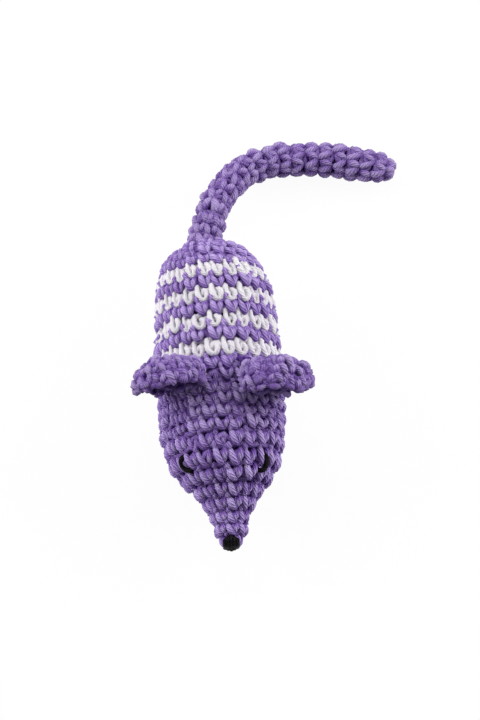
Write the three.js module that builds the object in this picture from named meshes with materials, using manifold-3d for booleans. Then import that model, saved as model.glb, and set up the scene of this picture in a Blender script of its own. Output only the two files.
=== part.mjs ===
// A crocheted catnip mouse, as the separate pieces that it is made of. The stuffed cover is worked in
// rounds from the nose to the rump, with single white rounds over the back. Two cupped ears and a tail
// are sewn on, and the eyes and nose are embroidered. Inside, two wads of fibre hold a catnip sachet.
//
// Millimetres, +Z up. The mouse lies on its belly with its nose towards -Y, so its left is +X.
// The origin is on the floor, under the middle of the belly.

import * as THREE from 'three';
import { mergeVertices } from 'three/addons/utils/BufferGeometryUtils.js';
import Module from 'manifold-3d';

const wasm = await Module();
wasm.setup();

// Body cover: lengths along the axis from the nose tip to the tail seat, one after the other
const TIP_LENGTH = 0.5;
const NOSE_LENGTH = 2.8;
const MUZZLE_LENGTH = 7.2;
const FACE_LENGTH = 16.5;
const CHEEK_LENGTH = 9;
const NECK_LENGTH = 12;
const BACK_LENGTH = 30;
const HIP_LENGTH = 17;
const RUMP_LENGTH = 11;
const SEAT_LENGTH = 8;

// Body cover: radii to the outside of the yarn at the end of each of those lengths
const TIP_RADIUS = 2.6;
const NOSE_RADIUS = 4.7;
const MUZZLE_RADIUS = 6.9;
const EYE_RADIUS = 17.9;
const CHEEK_RADIUS = 21.1;
const CHEST_RADIUS = 22.5;
const BACK_RADIUS = 22.1;
const HIP_RADIUS = 20.7;
const RUMP_RADIUS = 16.2;
const SEAT_RADIUS = 4;

// Crochet fabric: rounds, their height where they are evenly spaced, and the dent between two of them
const HEAD_ROUNDS = 14;
const RUMP_ROUNDS = 5;
const WHITE_STRIPE_COUNT = 4;
const ROUND_HEIGHT = 4.95;
const STRIPES_STATION = 65.2;
const STITCHES_AROUND = 26;
const DENT = 0.9;
const WALL = 4.2;
const CLOSING_HOLE_RADIUS = 1.6;

// How the mouse lies: the round its belly rests on, how far it is pressed flat, and the gap between pieces
const BELLY_ROUND = 13;
const BELLY_FLAT = 0.5;
const GAP = 0.3;

// Ears: cups that open forwards, each folding on the yarn that sews its back edge to the head
const EAR_STATION = 61;
const LEFT_EAR_ANGLE = 43;
const RIGHT_EAR_ANGLE = 37;
const EAR_HALF_WIDTH = 14;
const EAR_HALF_HEIGHT = 12;
const LEFT_EAR_DEPTH = 15.5;
const RIGHT_EAR_DEPTH = 11.4;
const EAR_WALL = 4.4;
const EAR_LIP = 1.1;
const EAR_ROUNDS = 5;
const EAR_RISE = 6.7;
const LEFT_EAR_BACK = 1.6;
const RIGHT_EAR_BACK = 3.8;
const LEFT_RIM_SLANT = 0.3;
const RIGHT_RIM_SLANT = -0.2;
const EAR_TILT = 2;
const LEFT_EAR_SWEEP = 6;
const RIGHT_EAR_SWEEP = -1;
const EAR_FOLD = 15;
const EAR_SQUARENESS = 2.4;
const EAR_STITCHES = 20;
const EAR_SEAM_LENGTH = 15;

// Embroidery and sewing yarn. An eye's route gives stations, and angles in degrees from the top.
const RIGHT_EYE_ROUTE = [[30.5, -51], [29, -55.5], [27, -54], [26.3, -48.5]];
const LEFT_EYE_ROUTE = [[29.3, 47.5], [27.6, 49.5], [25.7, 50.5], [24.7, 46.5]];
const EYE_YARN_RADIUS = 0.9;
const NOSE_YARN_RADIUS = 1.1;
const NOSE_STRAND_PITCH = 1.73 * NOSE_YARN_RADIUS;
const NOSE_STRANDS = 3;
const NOSE_WRAP = 3.6;
const NOSE_SHOULDER = 1.4;
const NOSE_SETBACK = 0.35;
const SEAM_YARN_RADIUS = 1.2;
const YARN_SIDES = 8;

// Tail: how far it reaches sideways and behind its root, its route in shares of that reach and of the way
// down to the floor, its radius and rounded tip, the round at its root that is sewn to the rump, and its rounds
const TAIL_SIDE_REACH = 71.3;
const TAIL_REAR_REACH = 29.6;
const TAIL_ROUTE = [[0, 0, 0], [0.0126, 0.1757, 0.05], [0.0856, 0.5135, 0.34], [0.2146, 0.848, 0.76],
  [0.418, 1, 1], [0.7293, 0.9358, 1], [1, 0.7601, 1]];
const TAIL_RADIUS = 6.4;
const TAIL_TIP_LENGTH = 8;
const TAIL_ROOT_RADIUS = 5.6;
const TAIL_ROOT_LENGTH = 2.5;
const TAIL_BORE_RADIUS = 2.1;
const TAIL_ROUNDS = 16;
const TAIL_DENT = 0.7;
const TAIL_SIDES = 12;
const ROOT_SIDES = 16;
const TAIL_TIP_WALL = 7;
const BORE_STEPS = 16;

// Catnip sachet: two round cloths sewn together at their rim
const SACHET_RADIUS = 12.5;
const SACHET_HALF_HEIGHT = 7;
const SACHET_RIM = 2;
const SACHET_CLOTH = 0.6;
const SACHET_STATION = 62;
const SACHET_SIDES = 16;
const DOME_STEPS = 4;

const PURPLE = 0x7f63a8;
const WHITE = 0xe6e1ea;
const BLACK = 0x17131a;
const FIBRE = 0xeeeae4;
const MUSLIN = 0xd9cdb4;
const HERB = 0x7d7a4a;

const radians = THREE.MathUtils.degToRad;
const v2 = (x, y) => new THREE.Vector2(x, y);
const v3 = (x, y, z) => new THREE.Vector3(x, y, z);

// Solids

// A geometry with its shared vertices merged, its empty triangles dropped and its faces turned outwards
function closed(geometry) {
  const bare = geometry.index ? geometry.toNonIndexed() : geometry.clone();
  bare.deleteAttribute('normal');
  bare.deleteAttribute('uv');
  const merged = mergeVertices(bare, 1e-3);
  const corner = (i) => v3().fromBufferAttribute(merged.attributes.position, i);
  const faces = [];
  let volume = 0;
  for (let i = 0; i < merged.index.count; i += 3) {
    const face = [0, 1, 2].map((k) => merged.index.getX(i + k));
    if (new Set(face).size < 3) continue;
    faces.push(face);
    const [a, b, c] = face.map(corner);
    volume += a.dot(b.cross(c));
  }
  merged.setIndex(faces.flatMap(([a, b, c]) => (volume < 0 ? [a, c, b] : [a, b, c])));
  return merged;
}

function solid(geometry) {
  const merged = closed(geometry);
  const vertProperties = merged.attributes.position.array;
  const triVerts = new Uint32Array(merged.index.array);
  return new wasm.Manifold(new wasm.Mesh({ numProp: 3, vertProperties, triVerts }));
}

function geometryOf(manifold) {
  const { vertProperties, triVerts } = manifold.getMesh();
  const geometry = new THREE.BufferGeometry();
  geometry.setAttribute('position', new THREE.BufferAttribute(vertProperties, 3));
  geometry.setIndex(new THREE.BufferAttribute(triVerts, 1));
  return geometry;
}

const cut = (manifold, cutters) => cutters.reduce((left, cutter) => left.subtract(cutter), manifold);

// A yarn of round section along a smooth curve, lengthened at both ends by extra
function yarn(points, radius, extra = 0) {
  const curve = new THREE.CatmullRomCurve3(points);
  const start = curve.getPointAt(0).addScaledVector(curve.getTangentAt(0), -extra);
  const end = curve.getPointAt(1).addScaledVector(curve.getTangentAt(1), extra);
  const path = new THREE.CatmullRomCurve3(extra > 0 ? [start, ...points, end] : points);
  const section = new THREE.Shape();
  section.absarc(0, 0, radius, 0, 2 * Math.PI);
  const options = { steps: 2 * points.length, curveSegments: YARN_SIDES / 2, extrudePath: path };
  return new THREE.ExtrudeGeometry(section, { ...options, bevelEnabled: false });
}

// Rings of the given radii round a path, at the given distances along it, joined into one closed skin.
// The profile starts and ends on the path itself.
function ringsAlong(path, profile, sides) {
  const length = path.getLength();
  const rings = profile.map(([along, radius]) => {
    const share = THREE.MathUtils.clamp(along / length, 0, 1);
    const tangent = path.getTangentAt(share);
    const centre = path.getPointAt(share).addScaledVector(tangent, along - share * length);
    const side = v3().crossVectors(tangent, v3(0, 0, 1)).normalize();
    const up = v3().crossVectors(side, tangent);
    return Array.from({ length: sides }, (_, i) => {
      const turn = (2 * Math.PI * i) / sides;
      const point = centre.clone().addScaledVector(side, radius * Math.cos(turn));
      return point.addScaledVector(up, radius * Math.sin(turn));
    });
  });
  const corners = [];
  for (let r = 1; r < rings.length; r++) {
    for (let i = 0; i < sides; i++) {
      const next = (i + 1) % sides;
      const [a, b, c, d] = [rings[r - 1][i], rings[r - 1][next], rings[r][next], rings[r][i]];
      corners.push(a, b, c, a, c, d);
    }
  }
  return new THREE.BufferGeometry().setFromPoints(corners);
}

// Body outline: x is the radius and y the station, the distance from the nose tip along the axis

const lengths = [TIP_LENGTH, NOSE_LENGTH, MUZZLE_LENGTH, FACE_LENGTH, CHEEK_LENGTH,
  NECK_LENGTH, BACK_LENGTH, HIP_LENGTH, RUMP_LENGTH, SEAT_LENGTH];
const radii = [TIP_RADIUS, NOSE_RADIUS, MUZZLE_RADIUS, EYE_RADIUS, CHEEK_RADIUS,
  CHEST_RADIUS, BACK_RADIUS, HIP_RADIUS, RUMP_RADIUS, SEAT_RADIUS];
const BODY_LENGTH = lengths.reduce((sum, length) => sum + length, 0);
const AXIS_HEIGHT = Math.max(...radii) - BELLY_FLAT;

const outlinePoints = [v3(0, 0, 0)];
lengths.forEach((length, i) => outlinePoints.push(v3(radii[i], outlinePoints[i].y + length, 0)));
const outline = new THREE.CatmullRomCurve3(outlinePoints, false, 'centripetal');
outline.arcLengthDivisions = 1000;
const OUTLINE_ARC = outline.getLength();

// The outline at a distance along it, taken in by a depth square to the fabric
function outlineAt(arc, depth = 0) {
  const share = THREE.MathUtils.clamp(arc / OUTLINE_ARC, 0, 1);
  const point = outline.getPointAt(share);
  const tangent = outline.getTangentAt(share);
  return v2(Math.max(point.x - depth * tangent.y, 0), point.y + depth * tangent.x);
}

function arcAtStation(station) {
  let [low, high] = [0, OUTLINE_ARC];
  for (let i = 0; i < 40; i++) {
    const middle = (low + high) / 2;
    if (outlineAt(middle).y < station) low = middle;
    else high = middle;
  }
  return low;
}

const radiusAt = (station) => outlineAt(arcAtStation(station)).x;

// Where each section of the cover starts and ends along the outline
const STRIPES_ARC = arcAtStation(STRIPES_STATION);
const STRIPE_ROUNDS = 2 * WHITE_STRIPE_COUNT - 1;
const RUMP_ARC = STRIPES_ARC + STRIPE_ROUNDS * ROUND_HEIGHT;
const roundEdges = [];
for (let i = 0; i < HEAD_ROUNDS; i++) roundEdges.push((i * STRIPES_ARC) / HEAD_ROUNDS);
for (let i = 0; i < STRIPE_ROUNDS; i++) roundEdges.push(STRIPES_ARC + i * ROUND_HEIGHT);
for (let i = 0; i <= RUMP_ROUNDS; i++) roundEdges.push(RUMP_ARC + (i * (OUTLINE_ARC - RUMP_ARC)) / RUMP_ROUNDS);
const BELLY_STATION = outlineAt(((BELLY_ROUND - 0.5) * STRIPES_ARC) / HEAD_ROUNDS).y;
const PIVOT_STATION = BODY_LENGTH + Math.sqrt((TAIL_ROOT_RADIUS + GAP) ** 2 - SEAT_RADIUS ** 2);

// Places along rounds of stitches: a dent, then the full thickness of the yarn, then a dent again
const ROUND_STEPS = [0, 1 / 3, 2 / 3];

function roundArcs(from, to, rounds) {
  const height = (to - from) / rounds;
  const places = [];
  for (let i = 0; i < rounds; i++) {
    for (const step of ROUND_STEPS) places.push({ arc: from + (i + step) * height, dent: step === 0 });
  }
  places.push({ arc: to, dent: true });
  return places;
}

const outside = (from, to, rounds) =>
  roundArcs(from, to, rounds).map(({ arc, dent }) => outlineAt(arc, dent ? DENT : 0));

function inside(from, to, depth) {
  const arcs = [from, ...roundEdges.filter((arc) => arc > from + GAP && arc < to - GAP), to];
  return arcs.map((arc) => outlineAt(arc, depth));
}

const lathe = (points, sides = STITCHES_AROUND) => new THREE.LatheGeometry(points, sides);

// Everything below the floor, in the frame of the body
function floorCutter() {
  const size = 4 * BODY_LENGTH;
  return solid(new THREE.BoxGeometry(size, size, size).translate(0, 0, -AXIS_HEIGHT - size / 2));
}

const floor = floorCutter();

// Body cover sections

const seamStart = (arc) => arc + GAP / 2;
const seamEnd = (arc) => arc - GAP / 2;

function headSection(cutters) {
  const back = seamEnd(STRIPES_ARC);
  const outer = outside(0, back, HEAD_ROUNDS);
  outer[0] = v2(0, 0);
  const inner = inside(0, back, WALL).filter((point) => point.x > DENT).reverse();
  const hollowStart = v2(0, inner.at(-1).y);
  return cut(solid(lathe([...outer, ...inner, hollowStart])), [floor, ...cutters]);
}

function singleRound(from) {
  const [start, end] = [seamStart(from), seamEnd(from + ROUND_HEIGHT)];
  const outer = outside(start, end, 1);
  const inner = inside(start, end, WALL).reverse();
  return cut(solid(lathe([...outer, ...inner, outer[0]])), [floor]);
}

function rumpSection() {
  const start = seamStart(RUMP_ARC);
  const outer = outside(start, OUTLINE_ARC, RUMP_ROUNDS);
  outer[outer.length - 1] = outlineAt(OUTLINE_ARC);
  const inner = inside(start, OUTLINE_ARC, WALL).reverse();
  inner[0].x = CLOSING_HOLE_RADIUS;
  const hole = v2(CLOSING_HOLE_RADIUS, BODY_LENGTH);
  const seatCutter = solid(rootBall(TAIL_ROOT_RADIUS + GAP).translate(0, PIVOT_STATION, 0));
  return cut(solid(lathe([...outer, hole, ...inner, outer[0]])), [floor, seatCutter]);
}

// Ears, in a frame on the head under the ear: x runs along the seam, y to the rear and z away from the head

function earCup({ depth, back, slant, outward }) {
  const half = (share) => Math.pow(Math.max(share, 0), 2 / EAR_SQUARENESS);
  const shell = (radius, reach, turn) => v2(radius * half(Math.sin(turn)), reach * half(Math.cos(turn)));
  const outer = [];
  const inner = [];
  for (let i = 0; i <= 3 * EAR_ROUNDS; i++) {
    const turn = (i * Math.PI) / (6 * EAR_ROUNDS);
    const dent = i % 3 === 0 && i > 0 && i < 3 * EAR_ROUNDS ? DENT : 0;
    outer.push(shell(EAR_HALF_WIDTH - dent, depth - dent, turn));
    if (i % 3 === 0) inner.unshift(shell(EAR_HALF_WIDTH - EAR_WALL, depth - EAR_WALL, turn));
  }
  const rim = v2(EAR_HALF_WIDTH - EAR_WALL / 2, -EAR_LIP);
  const cup = lathe([...outer, rim, ...inner], EAR_STITCHES).translate(0, -depth, 0);
  slantRim(cup, slant, outward);
  cup.scale(1, 1, EAR_HALF_HEIGHT / EAR_HALF_WIDTH);
  cup.rotateX(radians(EAR_TILT));
  return cup.translate(0, back, EAR_RISE);
}

// The rim lies further back, or forward, at the outer end of the ear than in its middle
function slantRim(cup, slant, outward) {
  const place = cup.getAttribute('position');
  for (let i = 0; i < place.count; i++) {
    const outerShare = Math.max(0, (outward * place.getX(i)) / EAR_HALF_WIDTH);
    place.setY(i, place.getY(i) * (1 - slant * outerShare));
  }
}

// The head, grown by the gap between pieces, as it stands in a frame on its surface
function headNeighbour(frame, fold) {
  const arcs = Array.from({ length: HEAD_ROUNDS + STRIPE_ROUNDS }, (_, i) => (i * RUMP_ARC) / HEAD_ROUNDS);
  const points = arcs.map((arc) => outlineAt(Math.min(arc, RUMP_ARC), -GAP));
  points[0] = v2(0, -GAP);
  const end = v2(0, points.at(-1).y);
  const head = lathe([...points, end]).applyMatrix4(frame.matrix.clone().invert());
  return solid(head.rotateX(radians(fold)));
}

function seamLine(radius) {
  const length = EAR_SEAM_LENGTH + 2 * (radius - SEAM_YARN_RADIUS);
  return new THREE.CylinderGeometry(radius, radius, length, YARN_SIDES).rotateZ(Math.PI / 2);
}

function earFrame(side, degrees, sweep) {
  const frame = new THREE.Group();
  const angle = side * radians(degrees);
  const radius = radiusAt(EAR_STATION);
  frame.position.set(radius * Math.sin(angle), EAR_STATION, radius * Math.cos(angle));
  frame.rotation.y = angle;
  frame.rotation.z = -side * radians(sweep);
  frame.updateMatrix();
  return frame;
}

function ear(frame, form) {
  const folds = [-EAR_FOLD, -EAR_FOLD / 2, 0, EAR_FOLD / 2, EAR_FOLD];
  const swept = folds.map((fold) => headNeighbour(frame, fold));
  return cut(solid(earCup(form)), [...swept, solid(seamLine(SEAM_YARN_RADIUS + GAP))]);
}

// Embroidery on the head

function onBody(station, angle) {
  const radius = radiusAt(station);
  return v3(radius * Math.sin(radians(angle)), station, radius * Math.cos(radians(angle)));
}

const eyePoints = (route) => route.map(([station, angle]) => onBody(station, angle));

function nosePoints(strand) {
  const x = strand * NOSE_STRAND_PITCH;
  const over = [NOSE_WRAP, NOSE_SHOULDER].map((station) => {
    const height = Math.sqrt(Math.max(radiusAt(station) ** 2 - x ** 2, 0));
    return v3(x, station, height);
  });
  const under = over.map((point) => v3(point.x, point.y, -point.z)).reverse();
  return [...over, v3(x, NOSE_SETBACK * Math.abs(strand), 0), ...under];
}

function nosePad(radius, extra) {
  const strands = Array.from({ length: NOSE_STRANDS }, (_, i) => i - (NOSE_STRANDS - 1) / 2);
  const solids = strands.map((strand) => solid(yarn(nosePoints(strand), radius, extra)));
  return solids.reduce((pad, strand) => pad.add(strand));
}

// Tail, in a frame at the middle of its root

const LYING = TAIL_RADIUS - AXIS_HEIGHT;
const tailPoints = TAIL_ROUTE.map(([aside, behind, down]) =>
  v3(aside * TAIL_SIDE_REACH, behind * TAIL_REAR_REACH, down * LYING));
const tailPath = new THREE.CatmullRomCurve3(tailPoints, false, 'centripetal');
tailPath.arcLengthDivisions = 600;
const TAIL_LENGTH = tailPath.getLength();

function rootBall(radius) {
  return new THREE.SphereGeometry(radius, ROOT_SIDES, ROOT_SIDES / 2);
}

const BORE_END = TAIL_LENGTH - TAIL_TIP_WALL;
const boreRings = [];
for (let i = 0; i <= BORE_STEPS; i++) {
  boreRings.push(TAIL_ROOT_LENGTH + (i * (BORE_END - TAIL_ROOT_LENGTH)) / BORE_STEPS);
}

function tailCover() {
  const profile = [[BORE_END, 0]];
  for (const along of boreRings.toReversed()) profile.push([along, TAIL_BORE_RADIUS]);
  const step = (TAIL_LENGTH - TAIL_ROOT_LENGTH) / (3 * TAIL_ROUNDS);
  for (let i = 0; i < 3 * TAIL_ROUNDS; i++) {
    const along = TAIL_ROOT_LENGTH + i * step;
    const left = Math.min((TAIL_LENGTH - along) / TAIL_TIP_LENGTH, 1);
    const taper = Math.sqrt(1 - (1 - left) ** 2);
    profile.push([along, (TAIL_RADIUS - (i % 3 === 0 ? TAIL_DENT : 0)) * taper]);
  }
  profile.push([TAIL_LENGTH, 0]);
  const cover = solid(ringsAlong(tailPath, profile, TAIL_SIDES));
  return cut(cover, [solid(rootBall(TAIL_ROOT_RADIUS + GAP))]);
}

function tailFilling() {
  const radius = TAIL_BORE_RADIUS - GAP;
  const start = TAIL_ROOT_RADIUS + 2 * GAP;
  const end = BORE_END - GAP;
  const between = boreRings.filter((along) => along > start && along < end);
  const sides = [start, ...between, end].map((along) => [along, radius]);
  return ringsAlong(tailPath, [[start, 0], ...sides, [end, 0]], TAIL_SIDES);
}

// Filling and catnip sachet. The sachet lies flat where the two wads of fibre meet.

function dome(radius, height, lift) {
  const points = [];
  for (let i = 0; i <= DOME_STEPS; i++) {
    const turn = (i * Math.PI) / (2 * DOME_STEPS);
    points.push(v2(radius * Math.sin(turn), lift + height * Math.cos(turn)));
  }
  return points;
}

const RIM_TOP = GAP / 2 + SACHET_CLOTH;
const upright = (points) => lathe(points, SACHET_SIDES).rotateX(Math.PI / 2);
const mirrored = (points) => points.map((point) => v2(point.x, -point.y)).reverse();

function sachetCloth() {
  const outer = dome(SACHET_RADIUS, SACHET_HALF_HEIGHT - RIM_TOP, RIM_TOP);
  const inner = dome(SACHET_RADIUS - SACHET_CLOTH, SACHET_HALF_HEIGHT - RIM_TOP - SACHET_CLOTH, GAP / 2);
  const rimRadius = SACHET_RADIUS + SACHET_RIM;
  return upright([...outer, v2(rimRadius, RIM_TOP), v2(rimRadius, GAP / 2), ...inner.reverse()]);
}

function catnip() {
  const radius = SACHET_RADIUS - SACHET_CLOTH - GAP;
  const upper = dome(radius, SACHET_HALF_HEIGHT - RIM_TOP - SACHET_CLOTH - GAP, 0);
  return upright([...upper, ...mirrored(upper).slice(1)]);
}

function sachetPocket() {
  const upper = dome(SACHET_RADIUS + GAP, SACHET_HALF_HEIGHT - RIM_TOP, RIM_TOP + GAP);
  upper.push(v2(SACHET_RADIUS + SACHET_RIM + GAP, RIM_TOP + GAP));
  return solid(upright([...upper, ...mirrored(upper)]).translate(0, SACHET_STATION, 0));
}

function wad(from, to) {
  const points = inside(from, to, WALL + GAP).filter((point) => point.x > DENT);
  const ends = [v2(0, points[0].y), v2(0, points.at(-1).y)];
  return cut(solid(lathe([ends[0], ...points, ends[1]])), [sachetPocket(), floor]);
}

// The scene graph

const mouse = new THREE.Group();
const body = new THREE.Group();
body.position.set(0, -BELLY_STATION, AXIS_HEIGHT);
mouse.add(body);

function add(parent, name, shape, color, roughness = 0.9) {
  const geometry = shape.isBufferGeometry ? closed(shape) : geometryOf(shape);
  geometry.computeVertexNormals();
  const mesh = new THREE.Mesh(geometry, new THREE.MeshStandardMaterial({ color, roughness, metalness: 0 }));
  mesh.name = name;
  parent.add(mesh);
  return mesh;
}

const ears = {
  right: earFrame(-1, RIGHT_EAR_ANGLE, RIGHT_EAR_SWEEP),
  left: earFrame(1, LEFT_EAR_ANGLE, LEFT_EAR_SWEEP),
};
const earForms = {
  right: { depth: RIGHT_EAR_DEPTH, back: RIGHT_EAR_BACK, slant: RIGHT_RIM_SLANT, outward: -1 },
  left: { depth: LEFT_EAR_DEPTH, back: LEFT_EAR_BACK, slant: LEFT_RIM_SLANT, outward: 1 },
};
const eyes = { right: eyePoints(RIGHT_EYE_ROUTE), left: eyePoints(LEFT_EYE_ROUTE) };
const headCutters = [nosePad(NOSE_YARN_RADIUS + GAP, GAP)];
for (const side of ['right', 'left']) {
  headCutters.push(solid(yarn(eyes[side], EYE_YARN_RADIUS + GAP, GAP)));
  headCutters.push(solid(seamLine(SEAM_YARN_RADIUS + GAP).applyMatrix4(ears[side].matrix)));
}

add(body, 'head_section', headSection(headCutters), PURPLE);
for (let i = 0; i < STRIPE_ROUNDS; i++) {
  const isWhite = i % 2 === 0;
  const name = `${isWhite ? 'white' : 'purple'}_round_${Math.floor(i / 2) + 1}`;
  add(body, name, singleRound(STRIPES_ARC + i * ROUND_HEIGHT), isWhite ? WHITE : PURPLE);
}
add(body, 'rump_section', rumpSection(), PURPLE);
add(body, 'nose_stitches', nosePad(NOSE_YARN_RADIUS, 0), BLACK);

for (const side of ['right', 'left']) {
  add(body, `${side}_eye_stitch`, yarn(eyes[side], EYE_YARN_RADIUS), BLACK);
  body.add(ears[side]);
  add(ears[side], `${side}_ear`, ear(ears[side], earForms[side]), PURPLE);
  add(ears[side], `${side}_ear_seam_yarn`, seamLine(SEAM_YARN_RADIUS), PURPLE);
}

const splitArc = arcAtStation(SACHET_STATION);
add(body, 'front_filling', wad(0, seamEnd(splitArc)), FIBRE, 1);
add(body, 'rear_filling', wad(seamStart(splitArc), OUTLINE_ARC), FIBRE, 1);

const sachet = new THREE.Group();
sachet.position.set(0, SACHET_STATION, 0);
body.add(sachet);
add(sachet, 'sachet_upper_cloth', sachetCloth(), MUSLIN);
const lowerHalf = new THREE.Group();
lowerHalf.rotation.x = Math.PI;
sachet.add(lowerHalf);
add(lowerHalf, 'sachet_lower_cloth', sachetCloth(), MUSLIN);
add(sachet, 'catnip_herb', catnip(), HERB, 1);

const tail = new THREE.Group();
tail.position.set(0, PIVOT_STATION, 0);
body.add(tail);
add(tail, 'tail_root_round', rootBall(TAIL_ROOT_RADIUS), PURPLE);
add(tail, 'tail_cover', tailCover(), PURPLE);
add(tail, 'tail_filling', tailFilling(), FIBRE, 1);

export default mouse;
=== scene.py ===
# %% [markdown]
# # A crocheted catnip mouse
# The toy is worked in cotton yarn, round after round, from the nose to the rump. Everything that the
# eye sees is yarn: a stitch is a loop with two legs, and its foot is pulled through the top of the
# stitch before it. Painting such a pattern on a smooth shell never gives the dark holes between the
# legs, so this lesson lays the yarn itself, as bevelled curves. The CAD model is loaded first, as a
# fixed frame that every piece has to fit.

# %% Load the frame
import math

import bmesh
import bpy
import numpy as np
from mathutils import Matrix, Vector, noise


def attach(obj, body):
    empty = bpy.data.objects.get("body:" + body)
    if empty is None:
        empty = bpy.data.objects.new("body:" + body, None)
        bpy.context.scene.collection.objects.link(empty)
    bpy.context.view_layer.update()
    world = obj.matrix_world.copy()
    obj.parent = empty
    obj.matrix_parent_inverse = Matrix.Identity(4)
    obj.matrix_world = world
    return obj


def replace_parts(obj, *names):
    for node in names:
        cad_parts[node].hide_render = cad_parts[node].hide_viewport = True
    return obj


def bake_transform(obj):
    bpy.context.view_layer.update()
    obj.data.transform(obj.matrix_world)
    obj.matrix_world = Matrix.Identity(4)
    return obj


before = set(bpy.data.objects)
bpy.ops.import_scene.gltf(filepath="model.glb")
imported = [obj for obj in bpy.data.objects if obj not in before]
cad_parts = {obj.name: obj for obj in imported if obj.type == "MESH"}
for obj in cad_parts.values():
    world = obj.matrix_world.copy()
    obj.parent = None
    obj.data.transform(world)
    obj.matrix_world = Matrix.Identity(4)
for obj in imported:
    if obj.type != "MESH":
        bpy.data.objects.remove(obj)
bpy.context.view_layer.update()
scene = bpy.context.scene
MM = 0.001

# %% [markdown]
# ## Camera
# The picture was taken from almost straight above the toy, a little towards its nose, with a long
# lens. A camera is easiest to place from the point it looks at: go back along the line of sight, and
# then turn it with `to_track_quat`, which points its -Z axis along that line. The lens shift moves
# that point to its pixel in the picture without tilting the camera.

# %% Camera
AZIMUTH = math.radians(-4.2)
ELEVATION = math.radians(76)
CAMERA_DISTANCE = 0.75
SENSOR_HEIGHT = 24.0
PICTURE_HEIGHT = 720
PIXELS_PER_MM = 2.8
AIM = Vector((0, 0.00119, 0.022))
AIM_PIXEL = (219.75, 386.1)
PICTURE_CENTRE = (240, 360)

sight = Vector((-math.sin(AZIMUTH) * math.cos(ELEVATION),
                math.cos(AZIMUTH) * math.cos(ELEVATION),
                -math.sin(ELEVATION)))
camera_data = bpy.data.cameras.new("camera")
camera_data.sensor_fit = "VERTICAL"
camera_data.sensor_height = SENSOR_HEIGHT
camera_data.lens = PIXELS_PER_MM / MM * CAMERA_DISTANCE / PICTURE_HEIGHT * SENSOR_HEIGHT
camera_data.shift_x = (PICTURE_CENTRE[0] - AIM_PIXEL[0]) / PICTURE_HEIGHT
camera_data.shift_y = (AIM_PIXEL[1] - PICTURE_CENTRE[1]) / PICTURE_HEIGHT
camera = bpy.data.objects.new("camera", camera_data)
camera.location = AIM - sight * CAMERA_DISTANCE
camera.rotation_euler = sight.to_track_quat("-Z", "Y").to_euler()
scene.collection.objects.link(camera)
scene.camera = camera
print("lens", round(camera_data.lens, 2), "camera at", [round(c, 3) for c in camera.location])

# %% [markdown]
# ## Floor and light
# The toy lies on white paper between two soft lamps, one at each side, and a weaker lamp behind the
# rump models the stitches. The world adds a little light from all round. Paper under such lamps is
# never quite white, so what the camera sees of the paper and of the world is mixed with plain white.
# The soft shadow under the toy stays in the mix.

# %% Floor
FLOOR_SIZE = 4.0
PAPER_GREY = 0.9
PAPER_WHITE = 0.95


def light_paper():
    material = bpy.data.materials.new("white_paper")
    material.use_nodes = True
    nodes = material.node_tree.nodes
    links = material.node_tree.links
    nodes.clear()
    diffuse = nodes.new("ShaderNodeBsdfDiffuse")
    diffuse.inputs["Color"].default_value = (PAPER_GREY, PAPER_GREY, PAPER_GREY, 1)
    glow = nodes.new("ShaderNodeEmission")
    path = nodes.new("ShaderNodeLightPath")
    seen = nodes.new("ShaderNodeMath")
    seen.operation = "MAXIMUM"
    share = nodes.new("ShaderNodeMath")
    share.operation = "MULTIPLY"
    share.inputs[1].default_value = PAPER_WHITE
    mix = nodes.new("ShaderNodeMixShader")
    output = nodes.new("ShaderNodeOutputMaterial")
    links.new(path.outputs["Is Camera Ray"], seen.inputs[0])
    links.new(path.outputs["Is Glossy Ray"], seen.inputs[1])
    links.new(seen.outputs[0], share.inputs[0])
    links.new(share.outputs[0], mix.inputs[0])
    links.new(diffuse.outputs[0], mix.inputs[1])
    links.new(glow.outputs[0], mix.inputs[2])
    links.new(mix.outputs[0], output.inputs["Surface"])
    return material


bm = bmesh.new()
bmesh.ops.create_grid(bm, x_segments=1, y_segments=1, size=FLOOR_SIZE / 2)
floor_mesh = bpy.data.meshes.new("floor")
bm.to_mesh(floor_mesh)
bm.free()
floor = bpy.data.objects.new("floor", floor_mesh)
floor.data.materials.append(light_paper())
scene.collection.objects.link(floor)
print("floor", FLOOR_SIZE, "m wide")

# %% Light
SKY_LIGHT = 0.20
LAMP_TARGET = Vector((0, 0, 0.02))


def lamp(name, place, size, power, tint):
    data = bpy.data.lights.new(name, "AREA")
    data.shape = "DISK"
    data.size = size
    data.energy = power
    data.color = tint
    obj = bpy.data.objects.new(name, data)
    obj.location = place
    obj.rotation_euler = (LAMP_TARGET - obj.location).to_track_quat("-Z", "Y").to_euler()
    scene.collection.objects.link(obj)


lamp("rear_lamp", (-0.05, 0.6, 0.75), 0.8, 4.6, (1, 0.99, 0.98))
lamp("left_lamp", (-0.8, 0.24, 0.40), 0.7, 8.2, (1, 0.99, 0.99))
lamp("right_lamp", (0.8, 0.24, 0.40), 0.7, 8.5, (1, 0.99, 0.99))
world = bpy.data.worlds.new("studio")
world.use_nodes = True
backdrop = world.node_tree.nodes["Background"]
backdrop.inputs["Color"].default_value = (1, 1, 1, 1)
seen_directly = world.node_tree.nodes.new("ShaderNodeLightPath").outputs["Is Camera Ray"]
strength = world.node_tree.nodes.new("ShaderNodeMath")
strength.operation = "MULTIPLY_ADD"
strength.inputs[1].default_value = 1 - SKY_LIGHT
strength.inputs[2].default_value = SKY_LIGHT
world.node_tree.links.new(seen_directly, strength.inputs[0])
world.node_tree.links.new(strength.outputs[0], backdrop.inputs["Strength"])
scene.world = world
scene.view_settings.view_transform = "Standard"

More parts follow.
